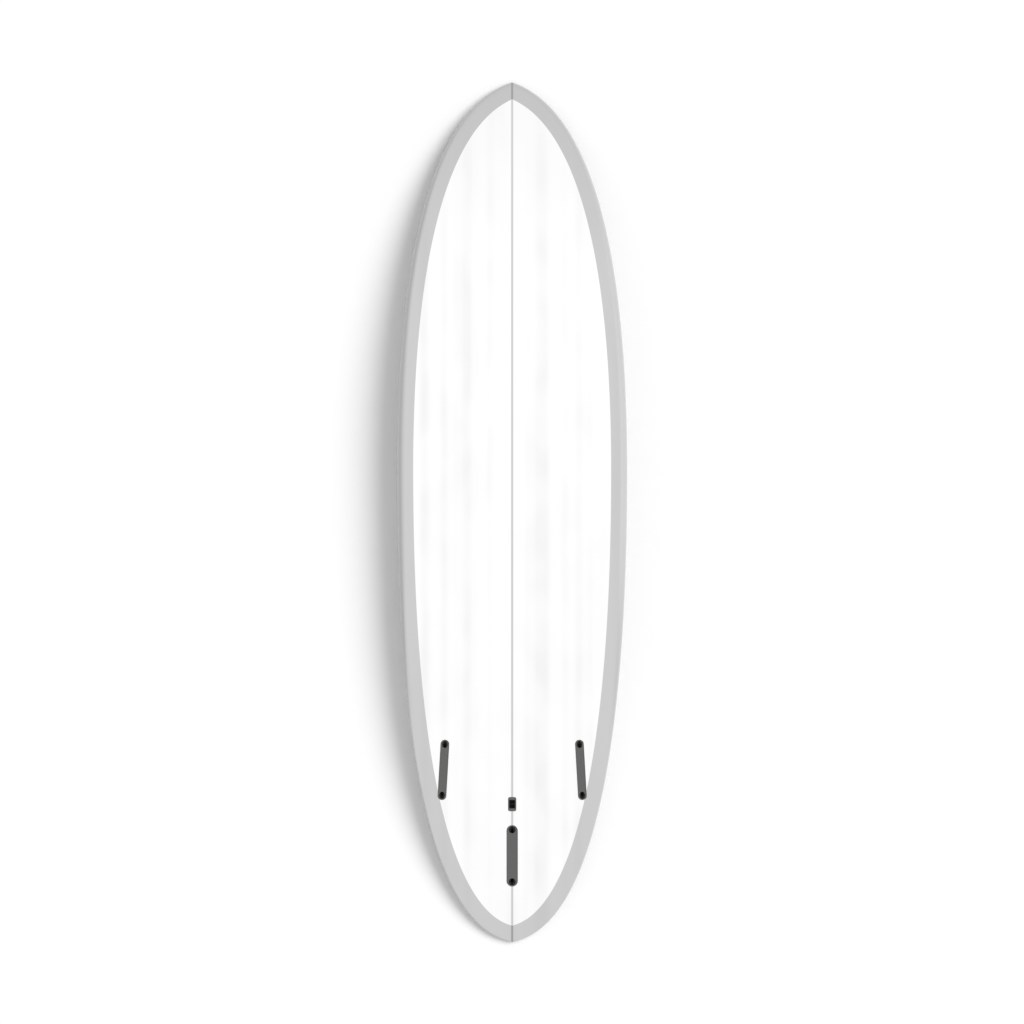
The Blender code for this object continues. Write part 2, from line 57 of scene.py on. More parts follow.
class Wire:
    """An output socket in a node tree. Arithmetic on it adds Math nodes to that tree."""

    def __init__(self, tree, socket=None):
        self.tree = tree
        self.socket = socket

    def node(self, kind, settings, inputs, output=0):
        """Add a node: its settings first, then a value or a wire for each of its sockets."""
        made = self.tree.nodes.new(kind)
        for name, value in settings.items():
            setattr(made, name, value)
        for key, value in inputs.items():
            socket = pick(made.inputs, key)
            if isinstance(value, Wire):
                self.tree.links.new(value.socket, socket)
            else:
                socket.default_value = value
        return Wire(self.tree, pick(made.outputs, output))

    def also(self, output):
        """Another output of the same node."""
        return Wire(self.tree, pick(self.socket.node.outputs, output))

    def math(self, operation, *values):
        return self.node("ShaderNodeMath", {"operation": operation}, dict(enumerate(values)))

    def xyz(self):
        """The three numbers of a vector."""
        x = self.node("ShaderNodeSeparateXYZ", {}, {"Vector": self}, "X")
        return x, x.also("Y"), x.also("Z")

    def fade(self, low, high, to_low=0.0, to_high=1.0):
        """A smooth ramp from one value to another."""
        inputs = {"Value": self, "From Min": low, "From Max": high, "To Min": to_low, "To Max": to_high}
        return self.node("ShaderNodeMapRange", {"interpolation_type": "SMOOTHSTEP"}, inputs)

    def tint(self, dark, light):
        """A colour between two, by this value."""
        inputs = {"Factor_Float": self, "A_Color": dark, "B_Color": light}
        return self.node("ShaderNodeMix", {"data_type": "RGBA"}, inputs, "Result_Color")

    def noise(self, scale, detail=2.0, roughness=0.5):
        """Cloudy noise over a vector."""
        inputs = {"Vector": self, "Scale": scale, "Detail": detail, "Roughness": roughness}
        return self.node("ShaderNodeTexNoise", {}, inputs)

    def stretched(self, x, y, z):
        """A vector scaled along each axis."""
        inputs = {"Vector": self, "Scale": (x, y, z)}
        return self.node("ShaderNodeMapping", {}, inputs)


for sign, operation in (("add", "ADD"), ("sub", "SUBTRACT"), ("mul", "MULTIPLY"), ("truediv", "DIVIDE")):
    setattr(Wire, f"__{sign}__", lambda a, b, op=operation: a.math(op, a, b))
    setattr(Wire, f"__r{sign}__", lambda a, b, op=operation: a.math(op, b, a))
setattr(Wire, "__pow__", lambda a, b: a.math("POWER", a, b))
setattr(Wire, "__lt__", lambda a, b: a.math("LESS_THAN", a, b))
setattr(Wire, "__gt__", lambda a, b: a.math("GREATER_THAN", a, b))


def grey(value):
    """A neutral colour."""
    return (value, value, value, 1.0)


def finish(name, constants):
    """A new material, with the constant sockets of its shader set, and a wire on Object coordinates."""
    made = bpy.data.materials.new(name)
    made.use_nodes = True
    shader = made.node_tree.nodes["Principled BSDF"]
    for label, value in constants.items():
        shader.inputs[label].default_value = value
    place = Wire(made.node_tree).node("ShaderNodeTexCoord", {}, {}, "Object")
    return made, place


def paint(made, label, wire):
    """Feed a varying value to a material's shader."""
    made.node_tree.links.new(wire.socket, made.node_tree.nodes["Principled BSDF"].inputs[label])


def emboss(made, height, strength, distance):
    """Fine relief from a height, by a Bump node."""
    inputs = {"Strength": strength, "Distance": distance, "Height": height}
    paint(made, "Normal", height.node("ShaderNodeBump", {}, inputs))


FOAM_DARK = (0.70, 0.68, 0.61, 1.0)
FOAM_LIGHT = (0.84, 0.82, 0.76, 1.0)
FOAM_CELL_SCALE = 900.0

foam, place = finish("cast_foam", {"Roughness": 0.9})
cells = place.noise(FOAM_CELL_SCALE, detail=1.0)
paint(foam, "Base Color", cells.fade(0.35, 0.65).tint(FOAM_DARK, FOAM_LIGHT))
emboss(foam, cells, strength=0.3, distance=0.0004)

PLY_DARK = (0.36, 0.25, 0.15, 1.0)
PLY_LIGHT = (0.60, 0.47, 0.32, 1.0)
PLY_GRAIN = (60.0, 4.0, 400.0)

ply, place = finish("stringer_ply", {"Roughness": 0.6})
grain = place.stretched(*PLY_GRAIN).noise(1.0, detail=4.0)
paint(ply, "Base Color", grain.fade(0.3, 0.7).tint(PLY_DARK, PLY_LIGHT))
emboss(ply, grain, strength=0.2, distance=0.0003)

for node, look in (("foam_core_left", foam), ("foam_core_right", foam), ("stringer", ply)):
    frame["nodes"][node].data.materials.clear()
    frame["nodes"][node].data.materials.append(look)


# Glass skins: cloth set in resin over the blank, white with a grey tinted lap round the rail, under
# one gloss coat. The hull follows a rule: outline, rocker, foil, a domed deck and a flat bottom
# with a tucked rail that comes down to a hard edge towards the tail.

GLASS_THICKNESS = 0.0012
MERGE_DISTANCE = 0.00001
CURVE_POINTS = 400
SHARP_ANGLE = math.radians(35.0)
NOSE_COLUMN_SHARE = 0.47
RAIL_DISTANCE = "rail_distance"

HULL = {
    "Length": 2.032,
    "Width": 0.542,
    "Wide Point From Nose": 0.917,
    "Nose Angle": math.radians(18.6),
    "Tail Angle": math.radians(10.0),
    "Nose Tip Pull": 0.534,
    "Nose Side Pull": 0.717,
    "Tail Tip Pull": 0.826,
    "Tail Side Pull": 0.460,
    "Nose Rocker": 0.124,
    "Tail Rocker": 0.062,
    "Nose Rocker Power": 2.4,
    "Tail Rocker Power": 2.2,
    "Thickness": 0.070,
    "Thick Point From Nose": 0.950,
    "Nose Thickness": 0.014,
    "Tail Thickness": 0.015,
    "Edge Height Share": 0.31,
    "Hard Edge Height": 0.003,
    "Soft Edge From Tail": 1.016,
    "Hard Edge From Tail": 0.436,
    "Tuck Ratio": 0.82,
    "Deck Power": 2.4,
    "Spine Inset": 0.085,
    "Lap Width": 0.0383,
    "Columns": 361,
    "Rows": 2,  # each skin sets its own
}
BOTTOM_ROWS = 20
RAIL_ROWS = 49
DECK_ROWS = 28


def rule(name, inputs, look):
    """A new Geometry Nodes tree with named inputs, and a wire for each of them."""
    tree = bpy.data.node_groups.new(name, "GeometryNodeTree")
    kinds = {float: "NodeSocketFloat", int: "NodeSocketInt"}
    for label, value in inputs.items():
        made = tree.interface.new_socket(label, in_out="INPUT", socket_type=kinds[type(value)])
        made.default_value = value
    made = tree.interface.new_socket("Finish", in_out="INPUT", socket_type="NodeSocketMaterial")
    made.default_value = look
    tree.interface.new_socket("Mesh", in_out="OUTPUT", socket_type="NodeSocketGeometry")
    source = tree.nodes.new("NodeGroupInput")
    return tree, {s.name: Wire(tree, s) for s in source.outputs if s.name}


def end_rule(tree, mesh, look):
    """Realize what a tree has made, give it its material and put it out."""
    real = mesh.node("GeometryNodeRealizeInstances", {}, {"Geometry": mesh})
    painted = mesh.node("GeometryNodeSetMaterial", {}, {"Geometry": real, "Material": look})
    tree.links.new(painted.socket, tree.nodes.new("NodeGroupOutput").inputs[0])


def settle(piece):
    """Turn a piece and its modifiers into a plain mesh with smooth faces and sharp corners."""
    bpy.context.view_layer.update()
    mesh = bpy.data.meshes.new_from_object(piece.evaluated_get(bpy.context.evaluated_depsgraph_get()))
    piece.modifiers.clear()
    piece.data = mesh
    if mesh.materials[0] is None:  # the empty slot that a grown mesh starts with
        mesh.materials.pop(index=0)
    mesh.shade_smooth()
    mesh.set_sharp_from_angle(angle=SHARP_ANGLE)
    return piece


def add_piece(name, mesh):
    """A new object at the origin."""
    made = bpy.data.objects.new(name, mesh)
    bpy.context.scene.collection.objects.link(made)
    return made


def grow(name, tree, changes):
    """A new object that holds what a tree makes with some of its inputs changed."""
    made = add_piece(name, bpy.data.meshes.new(name))
    modifier = made.modifiers.new("rule", "NODES")
    modifier.node_group = tree
    for item in tree.interface.items_tree:
        if item.name in changes:
            modifier[item.identifier] = changes[item.name]
    return made


def skin_rule(name, section, look):
    """The rule of one skin. section gives distance in from the rail and height over the bottom."""
    tree, size = rule(name, HULL, look)
    start = Wire(tree)
    half = size["Width"] / 2
    nose_y = size["Length"] / 2
    tail_y = 0 - nose_y
    wide_y = nose_y - size["Wide Point From Nose"]
    thick_y = nose_y - size["Thick Point From Nose"]

    def point(x, y, z=0.0):
        return start.node("ShaderNodeCombineXYZ", {}, {"X": x, "Y": y, "Z": z})

    def curve(a, b, c, d):
        inputs = {"Resolution": CURVE_POINTS, "Start": a, "Start Handle": b, "End Handle": c, "End": d}
        return start.node("GeometryNodeCurvePrimitiveBezierSegment", {}, inputs)

    def sample(path, share):
        return start.node("GeometryNodeSampleCurve", {}, {"Curves": path, "Factor": share}, "Position")

    def choose(test, if_not, if_so):
        inputs = {"Switch": test, "False": if_not, "True": if_so}
        return start.node("GeometryNodeSwitch", {"input_type": "VECTOR"}, inputs)

    def over(value):
        return start.math("MAXIMUM", value, 0.0)

    def rocker(y):
        nose = size["Nose Rocker"] * (over(y) / nose_y) ** size["Nose Rocker Power"]
        return nose + size["Tail Rocker"] * (over(0 - y) / nose_y) ** size["Tail Rocker Power"]

    def thickness(y):
        nose = (size["Thickness"] - size["Nose Thickness"]) * (over(y - thick_y) / (nose_y - thick_y)) ** 2
        tail = (size["Thickness"] - size["Tail Thickness"]) * (over(thick_y - y) / (thick_y - tail_y)) ** 2
        return size["Thickness"] - nose - tail

    def edge_height(y):
        soft = size["Edge Height Share"] * thickness(y)
        from_tail = y - tail_y
        hard = from_tail.fade(size["Soft Edge From Tail"], size["Hard Edge From Tail"])
        return soft + (size["Hard Edge Height"] - soft) * hard

    def slanted(reach, angle):
        return reach * start.math("COSINE", angle), reach * start.math("SINE", angle)

    wide = point(half, wide_y)
    pull_x, pull_y = slanted(size["Nose Tip Pull"] * half, size["Nose Angle"])
    nose_pull = point(pull_x, nose_y - pull_y)
    pull_x, pull_y = slanted(size["Tail Tip Pull"] * half, size["Tail Angle"])
    tail_pull = point(pull_x, tail_y + pull_y)
    nose_side = point(half, wide_y + size["Nose Side Pull"] * (nose_y - wide_y))
    tail_side = point(half, wide_y - size["Tail Side Pull"] * (wide_y - tail_y))
    nose_curve = curve(point(0.0, nose_y), nose_pull, nose_side, wide)
    tail_curve = curve(wide, tail_side, tail_pull, point(0.0, tail_y))

    inputs = {"Size X": 2.0, "Size Y": 1.0, "Vertices X": size["Columns"], "Vertices Y": size["Rows"]}
    grid = start.node("GeometryNodeMeshGrid", {}, inputs)
    along, across, _ = start.node("GeometryNodeInputPosition", {}, {}).xyz()
    across = across + 0.5
    side = start.math("SIGN", along)
    along = start.math("ABSOLUTE", along)
    on_nose = sample(nose_curve, along / NOSE_COLUMN_SHARE)
    on_tail = sample(tail_curve, (along - NOSE_COLUMN_SHARE) / (1 - NOSE_COLUMN_SHARE))
    in_nose = along < NOSE_COLUMN_SHARE
    rail_x, rail_y, _ = choose(in_nose, on_tail, on_nose).xyz()
    run_x, run_y, _ = choose(in_nose, on_tail.also("Tangent"), on_nose.also("Tangent")).xyz()

    # the section runs from the rail to the spine, square to the outline except at the tips
    foot = rail_y + run_x * rail_x / start.math("MINIMUM", run_y, -MERGE_DISTANCE)
    foot = start.math("MAXIMUM", foot, tail_y + size["Spine Inset"])
    foot = start.math("MINIMUM", foot, nose_y - size["Spine Inset"])
    aim_y = foot - rail_y
    span = 0 - rail_x * run_y - aim_y * run_x
    step_x = 0 - rail_x / span
    step_y = aim_y / span
    edge = edge_height(rail_y)
    crown = thickness(foot) - edge
    distance, height = section(start, size, across, span, edge, crown)
    plan_y = rail_y + step_y * distance
    spot = point((rail_x + step_x * distance) * side, plan_y, 0 - rocker(plan_y) - height)
    inputs = {"Geometry": grid, "Name": RAIL_DISTANCE, "Value": distance}
    marked = start.node("GeometryNodeStoreNamedAttribute", {"data_type": "FLOAT"}, inputs)
    hull = start.node("GeometryNodeSetPosition", {}, {"Geometry": marked, "Position": spot})
    sewn = start.node("GeometryNodeMergeByDistance", {}, {"Geometry": hull, "Distance": MERGE_DISTANCE})
    end_rule(tree, sewn, size["Finish"])
    return tree


def tucked(start, size, distance, edge):
    """Height of the bottom: flat, then a quarter ellipse up to the rail's edge."""
    tuck = size["Tuck Ratio"] * edge
    across = start.math("MAXIMUM", 1 - distance / tuck, 0.0)
    return edge - edge * start.math("SQRT", 1 - across * across)


def domed(start, size, angle, span, edge, crown):
    """Distance and height on the deck, a superellipse from the rail's edge to the spine."""
    power = 2 / size["Deck Power"]
    cosine = start.math("MAXIMUM", start.math("COSINE", angle), 0.0)
    return span - span * cosine ** power, edge + crown * start.math("SINE", angle) ** power


def lap_angle(start, size, span):
    """The deck's angle at the lap's cut line."""
    return start.math("ARCCOSINE", (1 - size["Lap Width"] / span) ** (size["Deck Power"] / 2))


def bottom_section(start, size, across, span, edge, crown):
    """The flat of the bottom, from the spine out to the lap's cut line."""
    distance = span + (size["Lap Width"] - span) * across
    return distance, tucked(start, size, distance, edge)


def rail_section(start, size, across, span, edge, crown):
    """The lap: from its cut line on the bottom, round the rail, to its cut line on the deck."""
    turn = across * 2 - 1
    under = start.math("SINE", start.math("MINIMUM", turn + 1, 1.0) * (math.pi / 2))
    distance = size["Lap Width"] * (1 - under)
    over_angle = lap_angle(start, size, span) * start.math("MAXIMUM", turn, 0.0)
    deck_distance, deck_height = domed(start, size, over_angle, span, edge, crown)
    on_deck = turn > 0.0
    height = tucked(start, size, distance, edge)
    return distance + (deck_distance - distance) * on_deck, height + (deck_height - height) * on_deck


def deck_section(start, size, across, span, edge, crown):
    """The deck, from the lap's cut line in to the spine."""
    first = lap_angle(start, size, span)
    return domed(start, size, first + (math.pi / 2 - first) * across, span, edge, crown)


STRINGER_HALF = 0.0024
STRINGER_BLUR = 0.0009
WEAVE_PITCH = 0.0011


def stringer_line(place):
    """1 over the stringer, which shows through the glass, fading to 0 beside it."""
    x, _, _ = place.xyz()
    return x.math("ABSOLUTE", x).fade(STRINGER_HALF + STRINGER_BLUR, STRINGER_HALF - STRINGER_BLUR)


def weave(place):
    """The height of plain-woven glass cloth."""
    x, y, _ = place.stretched(math.pi / WEAVE_PITCH, math.pi / WEAVE_PITCH, 1.0).xyz()
    return x.math("SINE", x) * y.math("SINE", y)


NOSE_SHADE_FROM = 0.45
NOSE_SHADE_TO = 1.0
STREAK_SHAPE = (23.0, 0.13, 1.0)


def painted_nose_shade(place):
    """0 to 1 along the nose: painted shade, darker where the nose tilts away from the light."""
    _, y, _ = place.xyz()
    return y.fade(NOSE_SHADE_FROM, NOSE_SHADE_TO)


def cloth_streaks(place):
    """0 to 1 in long bands along the board, where the cloth lies thicker in the resin."""
    return place.stretched(*STREAK_SHAPE).noise(1.0, detail=1.0).fade(0.42, 0.70)


GLOSS = {"Roughness": 0.35, "Coat Weight": 1.0, "Coat Roughness": 0.04}
POLISH_SCALE = 40.0
WHITE_CLEAN = grey(0.97)
WHITE_STREAK = grey(0.875)
WHITE_BLOTCH = grey(0.86)
# the colour and share of the painted shade towards the nose
WHITE_NOSE_SHADE = grey(0.84)
WHITE_STRINGER = grey(0.58)
PATCH_SHAPE = (13.0, 7.0, 1.0)
PLAIN_STREAK_SHARE = 0.45
BLOTCH_SHARE = 0.15
WHITE_NOSE_SHADE_SHARE = 0.5

white_glass, place = finish("polished_white_glass", GLOSS)
streaks = cloth_streaks(place)
patches = place.stretched(*PATCH_SHAPE).noise(1.0, detail=1.0).fade(0.35, 0.72)
streaks = streaks * (PLAIN_STREAK_SHARE + (1 - PLAIN_STREAK_SHARE) * patches)
tone = streaks.tint(WHITE_CLEAN, WHITE_STREAK)
tone = (patches * BLOTCH_SHARE).tint(tone, WHITE_BLOTCH)
# painted shade: the white darkened towards the nose, where it tilts away from the light
tone = (painted_nose_shade(place) * WHITE_NOSE_SHADE_SHARE).tint(tone, WHITE_NOSE_SHADE)
paint(white_glass, "Base Color", stringer_line(place).tint(tone, WHITE_STRINGER))
paint(white_glass, "Roughness", place.noise(POLISH_SCALE).fade(0.3, 0.7, to_low=0.30, to_high=0.40))
emboss(white_glass, weave(place), strength=0.05, distance=0.0001)

TINT_CLEAN = grey(0.575)
TINT_DEEP = grey(0.545)
# the colour and reach of the painted shade along the rail's outer edge
TINT_EDGE_SHADE = grey(0.45)
# the colour and share of the painted shade towards the nose
TINT_NOSE_SHADE = grey(0.48)
TINT_STRINGER = grey(0.31)
EDGE_SHADE_REACH = 0.015
EDGE_SHADE_FROM = -0.60
EDGE_SHADE_TO = -0.25
POOL_SHAPE = (14.0, 5.0, 14.0)
RIPPLE_SCALE = 30.0
POOL_SHARE = 0.5
TINT_STREAK_SHARE = 0.7
TINT_NOSE_SHADE_SHARE = 0.7

grey_glass, place = finish("polished_grey_glass", GLOSS)
inset = place.node("ShaderNodeAttribute", {"attribute_name": RAIL_DISTANCE}, {}, "Fac")
pooled = place.stretched(*POOL_SHAPE).noise(1.0, detail=4.0, roughness=0.55).fade(0.40, 0.75)
pooled = POOL_SHARE * pooled + TINT_STREAK_SHARE * cloth_streaks(place)
_, y, _ = place.xyz()
# painted shade: the rail's outer edge darkened where it turns away from the light, fading out towards the
# tail's hard edge
painted_edge_shade = inset.fade(EDGE_SHADE_REACH, 0.0) * y.fade(EDGE_SHADE_FROM, EDGE_SHADE_TO)
tone = painted_edge_shade.tint(pooled.tint(TINT_CLEAN, TINT_DEEP), TINT_EDGE_SHADE)
# painted shade: the grey lap darkened towards the nose, where it tilts away from the light
tone = (painted_nose_shade(place) * TINT_NOSE_SHADE_SHARE).tint(tone, TINT_NOSE_SHADE)
paint(grey_glass, "Base Color", stringer_line(place).tint(tone, TINT_STRINGER))
paint(grey_glass, "Roughness", place.noise(POLISH_SCALE).fade(0.3, 0.7, to_low=0.30, to_high=0.40))
emboss(grey_glass, place.noise(RIPPLE_SCALE, detail=0.0), strength=0.04, distance=0.0004)

bottom_tree = skin_rule("bottom_panel", bottom_section, white_glass)
rail_tree = skin_rule("rail_lap", rail_section, grey_glass)
deck_tree = skin_rule("deck_panel", deck_section, white_glass)
bottom_panel = grow("bottom_panel", bottom_tree, {"Rows": BOTTOM_ROWS})
rail_lap = grow("rail_lap", rail_tree, {"Rows": RAIL_ROWS})
deck_panel = grow("deck_panel", deck_tree, {"Rows": DECK_ROWS})
for skin in (bottom_panel, rail_lap, deck_panel):
    wall = skin.modifiers.new("wall", "SOLIDIFY")
    wall.thickness = GLASS_THICKNESS
    wall.offset = -1.0


# Openings: pockets routed through the glass into the blank, one for each box, fitting and plug,
# a little wider than what is set in it.

CLEARANCE = 0.0003
SLOPE_STEP = 0.001
ROUND_STEPS = 48
TAIL_Y = -HULL["Length"] / 2


def bottom_depth(y):
    """How far the bottom lies under a level line that touches it at half length."""
    end = "Nose" if y > 0 else "Tail"
    return HULL[end + " Rocker"] * abs(y / TAIL_Y) ** HULL[end + " Rocker Power"]


def deck_depth(y):
    """How far the middle of the deck lies under the same line, behind the thickest point."""
    thick_y = -TAIL_Y - HULL["Thick Point From Nose"]
    thinning = ((thick_y - y) / (thick_y - TAIL_Y)) ** 2
    thickness = HULL["Thickness"] - (HULL["Thickness"] - HULL["Tail Thickness"]) * thinning
    return bottom_depth(y) + thickness


def seat(depth, x, y, turn=0.0, face=0.0):
    """Where a fitting stands in the board: its Z out of the face and its Y along the board."""
    slope = math.atan((depth(y + SLOPE_STEP) - depth(y - SLOPE_STEP)) / (2 * SLOPE_STEP))
    lean = Matrix.Rotation(face - slope, 4, "X") @ Matrix.Rotation(turn, 4, "Z")
    return Matrix.Translation((x, y, -depth(y))) @ lean


def oval(width, length, steps=ROUND_STEPS):
    """An ellipse."""
    turns = [2 * math.pi * i / steps for i in range(steps)]
    return [(width / 2 * math.cos(a), length / 2 * math.sin(a)) for a in turns]


def rounded(width, length, radius, steps=ROUND_STEPS // 4):
    """A rectangle with round corners, or with round ends where the radius is half the width."""
    points = []
    for quarter, (sx, sy) in enumerate(((1, 1), (-1, 1), (-1, -1), (1, -1))):
        for i in range(steps + 1):
            a = math.pi / 2 * (quarter + i / steps)
            x = sx * (width / 2 - radius) + radius * math.cos(a)
            y = sy * (length / 2 - radius) + radius * math.sin(a)
            if not points or math.dist((x, y), points[-1]) > MERGE_DISTANCE:
                points.append((x, y))
    return points


def stack(name, *rings):
    """A closed mesh through outlines with as many points each, as (outline, height) in turn."""
    n = len(rings[0][0])
    points = [(x, y, z) for outline, z in rings for x, y in outline]
    faces = [tuple(range(n - 1, -1, -1)), tuple(range(len(points) - n, len(points)))]
    for low in range(0, len(points) - n, n):
        faces += [(low + i, low + (i + 1) % n, low + n + (i + 1) % n, low + n + i) for i in range(n)]
    made = bpy.data.meshes.new(name)
    made.from_pydata(points, [], faces)
    return made


def carve(piece, *tools):
    """Take meshes at their seats out of a piece, and settle it."""
    cutters = []
    for mesh, at in tools:
        mesh.transform(at)
        cutters.append(add_piece("cutter", mesh))
        modifier = piece.modifiers.new("cut", "BOOLEAN")
        modifier.operation = "DIFFERENCE"
        modifier.solver = "EXACT"
        modifier.object = cutters[-1]
    settle(piece)
    for cutter in cutters:
        bpy.data.objects.remove(cutter)
    return piece


mounts = {mount["name"]: mount for mount in frame["record"]["mounts"]}

SIDE_BOX = {"width": 0.020, "length": 0.143, "depth": 0.019}
SIDE_BOX_FROM_TAIL = 0.4101
SIDE_BOX_X = mounts["fin_face_right"]["pos_m"][0]
SIDE_BOX_Y = TAIL_Y + SIDE_BOX_FROM_TAIL
SIDE_BOX_TOE_IN = math.radians(3.3)
CENTER_BOX = {"width": 0.0261, "length": 0.1464, "depth": 0.020}
CENTER_BOX_REAR_FROM_TAIL = 0.1325
CENTER_BOX_Y = TAIL_Y + CENTER_BOX_REAR_FROM_TAIL + CENTER_BOX["length"] / 2
TETHER_WIDTH = 0.0189
TETHER_LENGTH = 0.0333
TETHER_DEPTH = 0.015
TETHER_CORNER = 0.0042
TETHER_AHEAD_OF_BOX = 0.0333
TETHER_Y = CENTER_BOX_Y + CENTER_BOX["length"] / 2 + TETHER_AHEAD_OF_BOX + TETHER_LENGTH / 2
LEASH_WIDTH = 0.028
LEASH_DEPTH = 0.014
LEASH_BEHIND_BOX = 0.018
LEASH_Y = CENTER_BOX_Y - CENTER_BOX["length"] / 2 - LEASH_BEHIND_BOX - LEASH_WIDTH / 2

box_seats = {
    "left": (SIDE_BOX, seat(bottom_depth, -SIDE_BOX_X, SIDE_BOX_Y, -SIDE_BOX_TOE_IN)),
    "right": (SIDE_BOX, seat(bottom_depth, SIDE_BOX_X, SIDE_BOX_Y, SIDE_BOX_TOE_IN)),
    "center": (CENTER_BOX, seat(bottom_depth, 0.0, CENTER_BOX_Y)),
}
tether_seat = seat(bottom_depth, 0.0, TETHER_Y)
leash_seat = seat(deck_depth, 0.0, LEASH_Y, 0.0, math.pi)


def mount_place(mount):
    """Where a mount on the middle line stands in the frame, with its Z along the mount's axis."""
    _, y, z = mount["axis"]
    return Matrix.Translation(mount["pos_m"]) @ Matrix.Rotation(math.atan2(-y, z), 4, "X")


# the board lies bottom up on its nose and tail, so that its centre box is where the frame has it
board_place = mount_place(mounts["fin_face_center"]) @ box_seats["center"][1].inverted()


def fit(piece, at, body, node):
    """Put a finished piece in the board, let it ride on its body and stand for its solid."""
    piece.data.transform(board_place @ at)
    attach(piece, body)
    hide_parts(node)


def pocket(outline, depth):
    """A cutter for a pocket with upright walls."""
    return stack("pocket", (outline, -depth - CLEARANCE), (outline, depth))


def box_pocket(size):
    """The cutter for a fin box's pocket, with round ends."""
    width = size["width"] + 2 * CLEARANCE
    return pocket(rounded(width, size["length"] + 2 * CLEARANCE, width / 2), size["depth"])


tether_hole = rounded(
    TETHER_WIDTH + 2 * CLEARANCE, TETHER_LENGTH + 2 * CLEARANCE, TETHER_CORNER + CLEARANCE
)
leash_hole = oval(LEASH_WIDTH + 2 * CLEARANCE, LEASH_WIDTH + 2 * CLEARANCE)
bottom_tools = [(box_pocket(size), at) for size, at in box_seats.values()]
carve(bottom_panel, *bottom_tools, (pocket(tether_hole, TETHER_DEPTH), tether_seat))
carve(rail_lap, *[(box_pocket(box_seats[side][0]), box_seats[side][1]) for side in ("left", "right")])
carve(deck_panel, (pocket(leash_hole, LEASH_DEPTH), leash_seat))
fit(bottom_panel, Matrix(), "board", "bottom_skin")
fit(rail_lap, Matrix(), "board", "rail_wrap")
fit(deck_panel, Matrix(), "board", "deck_skin")


# Fin boxes: three boxes of grey glass-filled nylon with round ends, moulded with a thin lip round
# a flat top and an oval well at each end, set in resin flush with the bottom.

BOX_LIP = 0.0014
BOX_LIP_HEIGHT = 0.0003
BOX_EDGE = 0.0004
BOX_END_WALL = 0.0024
BOX_FLOOR = 0.0025
SIDE_SOCKET = {"width": 0.0132, "length": 0.0172}
CENTER_SOCKET = {"width": 0.0162, "length": 0.017}
NYLON_DARK = grey(0.105)
NYLON_LIGHT = (0.135, 0.135, 0.131, 1.0)
FLECK_SCALE = 1400.0

grey_nylon, place = finish("moulded_grey_nylon", {"Roughness": 0.5, "Specular IOR Level": 0.3})
flecks = place.noise(FLECK_SCALE, detail=3.0, roughness=0.6)
paint(grey_nylon, "Base Color", flecks.fade(0.3, 0.7).tint(NYLON_DARK, NYLON_LIGHT))
paint(grey_nylon, "Roughness", flecks.fade(0.3, 0.7, to_low=0.45, to_high=0.6))
emboss(grey_nylon, flecks, strength=0.15, distance=0.0002)


def box_ring(size, inset):
    """The round-ended outline of a fin box, moved in from its edge."""
    width = size["width"] - 2 * inset
    return rounded(width, size["length"] - 2 * inset, width / 2)


def well_at(side, end):
    """A well's seat in its box, with Y towards the box's near end, its depth and its socket's size."""
    size, _ = box_seats[side]
    socket = CENTER_SOCKET if side == "center" else SIDE_SOCKET
    y = size["length"] / 2 - BOX_END_WALL - socket["length"] / 2
    turn = 0.0 if end == "front" else math.pi
    return Matrix.Rotation(turn, 4, "Z") @ Matrix.Translation((0, y, 0)), size["depth"] - BOX_FLOOR, socket


ENDS = ("front", "rear")
for side, (size, at) in box_seats.items():
    mesh = stack(
        f"box_{side}",
        (box_ring(size, 0.0), -size["depth"]),
        (box_ring(size, 0.0), -BOX_EDGE),
        (box_ring(size, BOX_EDGE), 0.0),
        (box_ring(size, BOX_LIP), 0.0),
        (box_ring(size, BOX_LIP + BOX_LIP_HEIGHT), -BOX_LIP_HEIGHT),
    )
    mesh.materials.append(grey_nylon)
    wells = []
    for end in ENDS:
        well, depth, socket = well_at(side, end)
        outline = oval(socket["width"], socket["length"])
        wells.append((stack("well", (outline, -depth), (outline, depth)), well))
    fit(carve(add_piece(f"box_{side}", mesh), *wells), at, "board", f"fin_box_{side}")


# Tab sockets: a black nylon plug pressed into each well, with a slot that takes the tab of a fin
# and a threaded bore beside it, leaning so that the screw drives the tab down.

SOCKET_SINK = 0.0008
SOCKET_FLOOR = 0.002
SOCKET_WALL = 0.0012
SOCKET_EDGE = 0.0003
TAB_WIDTH = 0.0066
SCREW_RADIUS = 0.002
SCREW_LENGTH = 0.005
SCREW_TRAVEL = 0.0026
SCREW_SINK = 0.0012
SCREW_TILT = math.radians(15.0)
BLACK_DEEP = (0.0155, 0.0143, 0.011, 1.0)
BLACK_WORN = (0.0215, 0.02, 0.0155, 1.0)
MOULDING_SCALE = 900.0

black_nylon, place = finish("moulded_black_nylon", {"Roughness": 0.45, "Specular IOR Level": 0.2})
moulding = place.noise(MOULDING_SCALE, detail=3.0, roughness=0.6)
paint(black_nylon, "Base Color", moulding.fade(0.3, 0.7).tint(BLACK_DEEP, BLACK_WORN))
paint(black_nylon, "Roughness", moulding.fade(0.3, 0.7, to_low=0.40, to_high=0.58))
emboss(black_nylon, moulding, strength=0.15, distance=0.0002)

